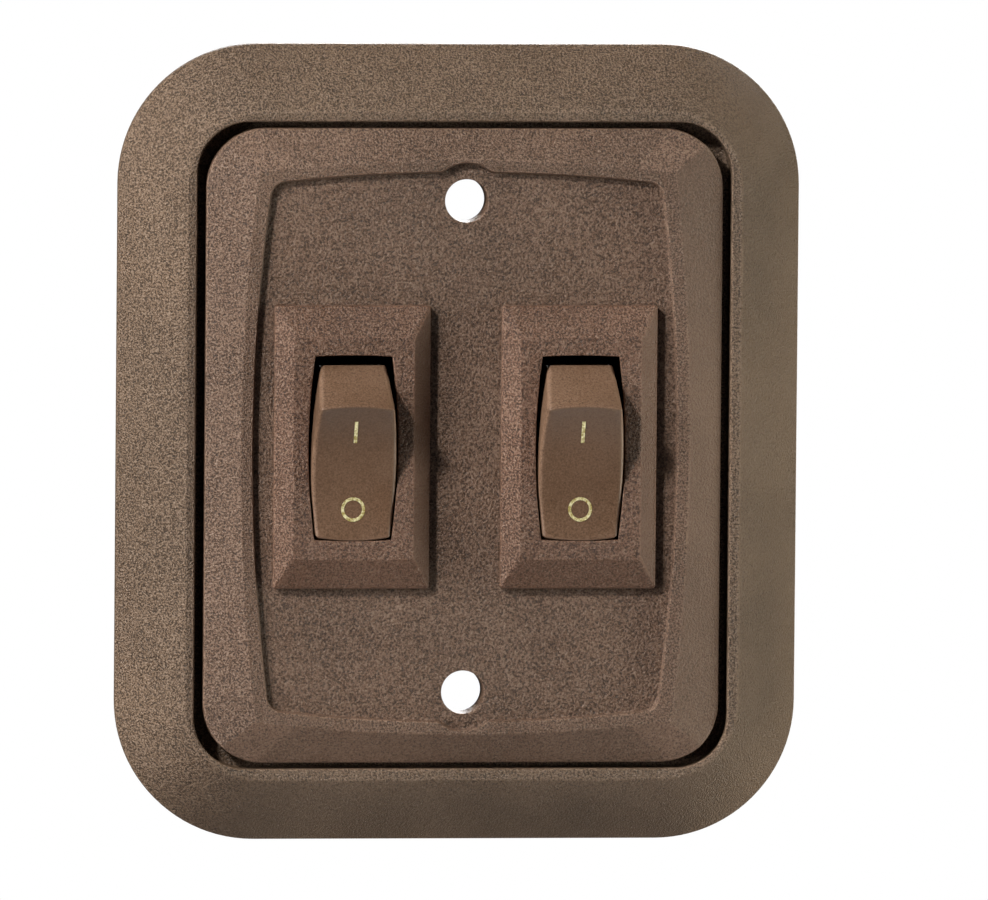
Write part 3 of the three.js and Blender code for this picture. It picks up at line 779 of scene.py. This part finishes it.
class Shader:
    """One node material, with short calls for adding nodes."""

    def __init__(self, name):
        self.material = bpy.data.materials.new(name)
        self.material.use_nodes = True
        self.tree = self.material.node_tree
        self.surface = self.tree.nodes["Principled BSDF"]
        self.place = self.add("ShaderNodeTexCoord").outputs["Object"]

    def add(self, kind, **values):
        node = self.tree.nodes.new(kind)
        for key, value in values.items():
            self.put(node, key, value)
        return node

    def put(self, node, key, value):
        if not hasattr(node, key):
            socket = node.inputs[int(key[1:])] if key[0] == "_" and key[1:].isdigit() else node.inputs[key.replace("_", " ")]
            if isinstance(value, bpy.types.NodeSocket):
                self.tree.links.new(value, socket)
            else:
                socket.default_value = value
        else:
            setattr(node, key, value)

    def noise(self, scale, detail=2.0, roughness=0.5, vector=None):
        node = self.add("ShaderNodeTexNoise", Scale=scale, Detail=detail, Roughness=roughness)
        self.tree.links.new(vector or self.place, node.inputs["Vector"])
        return node.outputs["Fac"]

    def spread(self, value, low, high, to_low=0.0, to_high=1.0):
        node = self.add("ShaderNodeMapRange", clamp=True)
        self.tree.links.new(value, node.inputs["Value"])
        for key, number in (("From Min", low), ("From Max", high), ("To Min", to_low), ("To Max", to_high)):
            node.inputs[key].default_value = number
        return node.outputs["Result"]

    def maths(self, operation, a, b):
        node = self.add("ShaderNodeMath", operation=operation)
        for socket, value in zip(node.inputs, (a, b)):
            if isinstance(value, bpy.types.NodeSocket):
                self.tree.links.new(value, socket)
            else:
                socket.default_value = value
        return node.outputs[0]

    def mixed(self, share, a, b, blend="MIX"):
        node = self.add("ShaderNodeMix", data_type="RGBA", blend_type=blend)
        for key, value in ((0, share), (6, a), (7, b)):
            if isinstance(value, bpy.types.NodeSocket):
                self.tree.links.new(value, node.inputs[key])
            else:
                node.inputs[key].default_value = (*value, 1) if isinstance(value, tuple) else value
        return node.outputs[2]

    def scaled(self, colour, factor):
        node = self.add("ShaderNodeVectorMath", operation="SCALE", Scale=factor)
        self.tree.links.new(colour, node.inputs[0])
        return node.outputs[0]

    def facing_grain(self):
        """How squarely the surface is turned to the side the grain is lit from, from -1 to 1."""
        node = self.add("ShaderNodeVectorMath", operation="DOT_PRODUCT")
        self.tree.links.new(self.add("ShaderNodeNewGeometry").outputs["True Normal"], node.inputs[0])
        node.inputs[1].default_value = GRAIN_LIT_SIDE.normalized()
        return node.outputs["Value"]

    def bump(self, height, distance, strength=1.0, normal=None):
        node = self.add("ShaderNodeBump", Distance=distance, Strength=strength)
        self.tree.links.new(height, node.inputs["Height"])
        if normal is not None:
            self.tree.links.new(normal, node.inputs["Normal"])
        return node.outputs["Normal"]

    def finish(self, **inputs):
        for key, value in inputs.items():
            self.put(self.surface, key, value)
        return self.material


def grained_plastic(name, colour, grain, roughness, painted_grain_shading, edge_wear_and_highlight=0.35, grain_size=0.24):
    """Brown moulded plastic with a fine spark-eroded grain, faint stains and rounded edges painted lighter,
    partly as rubbing and partly as painted highlight lines.

    The grain's painted shade and painted glints are drawn more strongly on surfaces turned to the grain's lit
    side, where hard light would fall across it.
    """
    shader = Shader(name)
    coarse = shader.noise(1 / (grain_size * MM), detail=1.5, roughness=0.6)
    fine = shader.noise(2.6 / (grain_size * MM), detail=1.0)
    height = shader.maths("ADD", coarse, shader.maths("MULTIPLY", fine, 0.45))
    stain = shader.noise(42, detail=4.0, roughness=0.62)
    cloud = shader.noise(150, detail=3.0, roughness=0.6)
    dark = tuple(0.82 * c for c in colour)
    light = tuple(min(1.0, 1.2 * c + 0.006) for c in colour)
    tone = shader.mixed(shader.spread(stain, 0.32, 0.7), dark, light)
    haze = shader.spread(shader.noise(75, detail=3.0, roughness=0.55), 0.46, 0.68, 0.0, 0.45)
    tone = shader.mixed(haze, tone, tuple(c + up for c, up in zip(colour, (0.036, 0.029, 0.024))))
    # Rounded edges painted lighter: partly rubbing of the plastic, partly painted highlight lines along the
    # edges
    rubbed_and_highlit = shader.add("ShaderNodeAttribute", attribute_name="edge_wear_and_highlight").outputs["Fac"]
    worn_and_highlit = shader.maths("MULTIPLY", rubbed_and_highlit, shader.spread(cloud, 0.35, 0.7, 0.2 * edge_wear_and_highlight, edge_wear_and_highlight))
    tone = shader.mixed(worn_and_highlit, tone, tuple(min(1.0, 2.0 * c + 0.04) for c in colour))
    # Painted light and shade of the grain: hollows painted darker as shade and bumps painted pale as glints,
    # strongest on surfaces facing the grain's lit side
    grain_shading_strength = shader.spread(shader.facing_grain(), 0.12, 0.7, 0.15 * painted_grain_shading, painted_grain_shading)
    relief = shader.maths("SUBTRACT", shader.maths("ADD", shader.maths("MULTIPLY", fine, 0.5), coarse), 0.75)
    grain_light_swing = shader.maths("MULTIPLY", relief, grain_shading_strength)
    painted_grain_shade = shader.maths("MAXIMUM", shader.maths("ADD", shader.maths("MINIMUM", grain_light_swing, 0.0), 1.0), 0.3)
    glint = shader.maths("MULTIPLY", shader.maths("MAXIMUM", grain_light_swing, 0.0), 0.1)
    tone = shader.mixed(glint, shader.scaled(tone, painted_grain_shade), (1.0, 0.82, 0.66))
    rough = shader.spread(cloud, 0.3, 0.7, roughness - 0.05, roughness + 0.06)
    normal = shader.bump(height, grain * MM)
    return shader.finish(Base_Color=tone, Roughness=rough, Normal=normal, Specular_IOR_Level=0.38)


def black_plastic():
    shader = Shader("black_base_plastic")
    cloud = shader.noise(300, detail=4.0)
    tone = shader.mixed(cloud, (0.011, 0.010, 0.010), (0.024, 0.022, 0.021))
    normal = shader.bump(shader.noise(4200, detail=2.0), 0.015 * MM)
    return shader.finish(Base_Color=tone, Roughness=shader.spread(cloud, 0.3, 0.7, 0.38, 0.55), Normal=normal)


def drawn_metal(name, colour, roughness, tarnish, streak=(1, 1, 14)):
    """Stamped or drawn metal with fine rolling streaks and a little tarnish."""
    shader = Shader(name)
    mapping = shader.add("ShaderNodeMapping")
    shader.tree.links.new(shader.place, mapping.inputs["Vector"])
    mapping.inputs["Scale"].default_value = streak
    streaks = shader.noise(900, detail=3.0, vector=mapping.outputs["Vector"])
    patches = shader.spread(shader.noise(260, detail=5.0, roughness=0.65), 0.45, 0.75)
    tone = shader.mixed(patches, colour, tarnish)
    rough = shader.spread(streaks, 0.3, 0.7, roughness - 0.06, roughness + 0.12)
    normal = shader.bump(streaks, 0.006 * MM)
    return shader.finish(Base_Color=tone, Metallic=1.0, Roughness=rough, Normal=normal)


def gold_foil():
    """Hot-stamped foil, slightly breaking up with the grain under it; its pale patches are painted glints and
    painted reflection.
    """
    shader = Shader("gold_foil")
    foil_break_and_glint = shader.noise(2600, detail=3.0, roughness=0.65)
    # The foil's tone runs from a dark gold to a pale end that stands for painted glints and painted
    # reflection
    tone = shader.mixed(shader.spread(foil_break_and_glint, 0.36, 0.62), (0.40, 0.31, 0.07), (1.0, 0.94, 0.58))
    normal = shader.bump(foil_break_and_glint, 0.04 * MM)
    return shader.finish(Base_Color=tone, Metallic=0.3, Roughness=0.35, Normal=normal)


RING_COLOUR = (0.138, 0.085, 0.050)
PLATE_COLOUR = (0.136, 0.075, 0.045)
BEZEL_COLOUR = (0.130, 0.061, 0.033)
ROCKER_COLOUR = (0.138, 0.076, 0.043)

# The last number of each plastic sets how strongly its grain's painted shade and glints show
MATERIALS = {
    "ring_plastic": grained_plastic("ring_plastic", RING_COLOUR, 0.24, 0.46, 6.8),
    "plate_plastic": grained_plastic("plate_plastic", PLATE_COLOUR, 0.2, 0.44, 6.4),
    "switch_plastic": grained_plastic("switch_plastic", BEZEL_COLOUR, 0.2, 0.44, 6.6),
    "rocker_plastic": grained_plastic("rocker_plastic", ROCKER_COLOUR, 0.05, 0.4, 2.2, edge_wear_and_highlight=0.3),
    "base_plastic": black_plastic(),
    "spring_wire": drawn_metal("spring_wire", (0.56, 0.57, 0.58), 0.28, (0.32, 0.31, 0.30)),
    "terminal_metal": drawn_metal("terminal_metal", (0.78, 0.58, 0.26), 0.3, (0.45, 0.30, 0.12)),
    "blade_metal": drawn_metal("blade_metal", (0.72, 0.40, 0.22), 0.3, (0.36, 0.18, 0.10)),
    "contact_silver": drawn_metal("contact_silver", (0.80, 0.80, 0.77), 0.24, (0.50, 0.48, 0.44)),
    "gold_lettering": gold_foil(),
}


def dress(piece, slot, body, *nodes):
    """Gives a piece its material, its body and the CAD nodes that it stands for."""
    piece.data.materials.clear()
    piece.data.materials.append(MATERIALS[slot])
    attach(piece, body)
    if nodes:
        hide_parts(*nodes)


# ------------------------------------------------------------------ assembly

dress(trim_ring(), "ring_plastic", "trim_ring", "trim_ring")
dress(face_plate(), "plate_plastic", "face_plate", "face_plate")

FIXED_PARTS = {
    "rear_base": ("rear_plug", "base_plastic", 0.12),
    "common_terminal": ("common_tab", "terminal_metal", 0.1),
    "load_terminal": ("load_tab", "terminal_metal", 0.1),
    "load_contact": ("load_button", "contact_silver", 0.05),
}
BLADE_PARTS = {
    "contact_blade": ("seesaw_blade", "blade_metal", 0.08),
    "blade_contact": ("blade_button", "contact_silver", 0.05),
}

for side in SIDES:
    tilted = (
        Matrix.Translation((switch_x(side), 0, pivot_height(side)))
        @ Matrix.Rotation(ROCKER_TILT, 4, "X")
    )
    dress(housing(side), "switch_plastic", "face_plate", side + "_switch_housing")
    dress(rocker(side, tilted), "rocker_plastic", side + "_rocker", side + "_rocker")
    on = foil_mark(side, "on", bar_mark(), MARK_FROM_MIDDLE, tilted)
    off = foil_mark(side, "off", circle_mark(), -MARK_FROM_MIDDLE, tilted)
    dress(on, "gold_lettering", side + "_rocker")
    dress(off, "gold_lettering", side + "_rocker")
    dress(coil_spring(side, tilted), "spring_wire", side + "_rocker", side + "_plunger_spring")
    pin = refined(side + "_plunger", side + "_plunger_pin", 0.06)
    dress(pin, "contact_silver", side + "_plunger", side + "_plunger")
    for parts, body in ((FIXED_PARTS, "face_plate"), (BLADE_PARTS, side + "_contact_blade")):
        for node, (name, slot, width) in parts.items():
            piece = refined(side + "_" + node, side + "_" + name, width)
            dress(piece, slot, body, side + "_" + node)

# ------------------------------------------------------------------ camera, floor and light

CAMERA_AZIMUTH = -6.8
CAMERA_ELEVATION = 4.4
CAMERA_ROLL = 0.49
CAMERA_DISTANCE = 2.4
FRAME_WIDTH = 0.1216
FRAME_OFFSET = (0.00471, -0.00113)
SENSOR = 36.0
FLOOR_DROP = 0.6


def facing(azimuth, elevation):
    """The unit vector from the plate towards a viewer, for angles in degrees."""
    azimuth, elevation = math.radians(azimuth), math.radians(elevation)
    flat = math.cos(elevation)
    return Vector((math.sin(azimuth) * flat, -math.cos(azimuth) * flat, math.sin(elevation)))


def camera():
    """A long lens a little to the left of the plate and above it."""
    back = facing(CAMERA_AZIMUTH, CAMERA_ELEVATION)
    right = Vector((0, 0, 1)).cross(back).normalized()
    roll = Matrix.Rotation(math.radians(CAMERA_ROLL), 3, back)
    right, up = roll @ right, roll @ back.cross(right)
    eye = back * CAMERA_DISTANCE + right * FRAME_OFFSET[0] + up * FRAME_OFFSET[1]
    data = bpy.data.cameras.new("camera")
    data.sensor_width = SENSOR
    data.lens = SENSOR * CAMERA_DISTANCE / FRAME_WIDTH
    data.clip_end = 20
    holder = bpy.data.objects.new("camera", data)
    turn = Matrix((right, up, back)).transposed().to_4x4()
    holder.matrix_world = Matrix.Translation(eye) @ turn
    bpy.context.scene.collection.objects.link(holder)
    bpy.context.scene.camera = holder


def soft_light(name, direction, distance, size, watts, colour=(1, 1, 1)):
    """A square area light that looks at the plate from a direction given as right, towards the viewer, up."""
    data = bpy.data.lights.new(name, "AREA")
    data.shape = "RECTANGLE"
    data.size, data.size_y = size
    data.energy = watts
    data.color = colour
    lamp = bpy.data.objects.new(name, data)
    towards = Vector((direction[0], -direction[1], direction[2])).normalized()
    turn = towards.to_track_quat("Z", "Y").to_matrix().to_4x4()
    lamp.matrix_world = Matrix.Translation(towards * distance) @ turn
    bpy.context.scene.collection.objects.link(lamp)


def white_to_camera(name, seen, lit):
    """A surface or world that the camera sees as plain white, but that lights the object only a little."""
    shader = Shader(name)
    glow = shader.add("ShaderNodeEmission", Color=(1, 1, 1, 1), Strength=seen)
    plain = shader.add("ShaderNodeBsdfDiffuse", Color=(lit, lit, lit, 1))
    path = shader.add("ShaderNodeLightPath")
    blend = shader.add("ShaderNodeMixShader")
    shader.tree.links.new(path.outputs["Is Camera Ray"], blend.inputs[0])
    shader.tree.links.new(plain.outputs[0], blend.inputs[1])
    shader.tree.links.new(glow.outputs[0], blend.inputs[2])
    output = shader.tree.nodes["Material Output"]
    shader.tree.links.new(blend.outputs[0], output.inputs["Surface"])
    return shader.material


def floor():
    """A wide pale floor well below the plate, curving up far behind it."""
    reach, far, radius = 4.5, 3.5, 0.5
    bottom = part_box("trim_ring")[0].z - FLOOR_DROP
    profile = [(-reach, bottom), (far, bottom)]
    profile += [
        (far + radius * math.sin(a), bottom + radius * (1 - math.cos(a)))
        for a in np.linspace(0.1, 0.5 * math.pi, 12)
    ]
    profile.append((far + radius, bottom + reach))
    mesh = bpy.data.meshes.new("floor")
    points = [(x, y, z) for y, z in profile for x in (-reach, reach)]
    faces = [(2 * i, 2 * i + 1, 2 * i + 3, 2 * i + 2) for i in range(len(profile) - 1)]
    mesh.from_pydata(points, [], faces)
    mesh.materials.append(white_to_camera("pale_floor", 1.0, 0.12))
    sheet = bpy.data.objects.new("floor", mesh)
    bpy.context.scene.collection.objects.link(sheet)


def world():
    sky = bpy.data.worlds.new("studio")
    sky.use_nodes = True
    tree = sky.node_tree
    path = tree.nodes.new("ShaderNodeLightPath")
    blend = tree.nodes.new("ShaderNodeMix")
    blend.inputs["A"].default_value = 0.02
    blend.inputs["B"].default_value = 1.0
    tree.links.new(path.outputs["Is Camera Ray"], blend.inputs["Factor"])
    tree.links.new(blend.outputs["Result"], tree.nodes["Background"].inputs["Strength"])
    tree.nodes["Background"].inputs["Color"].default_value = (1, 1, 1, 1)
    bpy.context.scene.world = sky


camera()
floor()
world()
soft_light("key", KEY_LIGHT, 1.2, (0.12, 0.12), 14.5, (1.0, 0.97, 0.93))
soft_light("left_sheen", (-0.86, 0.5, 0.1), 0.9, (0.3, 0.5), 4.6, (1.0, 0.95, 0.92))
soft_light("left_strip", (-0.85, 0.3, 0.45), 0.9, (0.3, 0.6), 3.3, (0.98, 1.0, 0.98))
soft_light("right_box", (0.99, 0.07, -0.08), 0.9, (0.3, 0.8), 10.0, (1.0, 0.99, 0.86))
soft_light("bottom_box", (0.3, 0.12, -0.95), 0.45, (0.4, 0.12), 0.4)
soft_light("back_box", (0.35, -0.85, 0.4), 0.9, (0.6, 0.6), 14.0)
bpy.context.scene.view_settings.view_transform = "Standard"
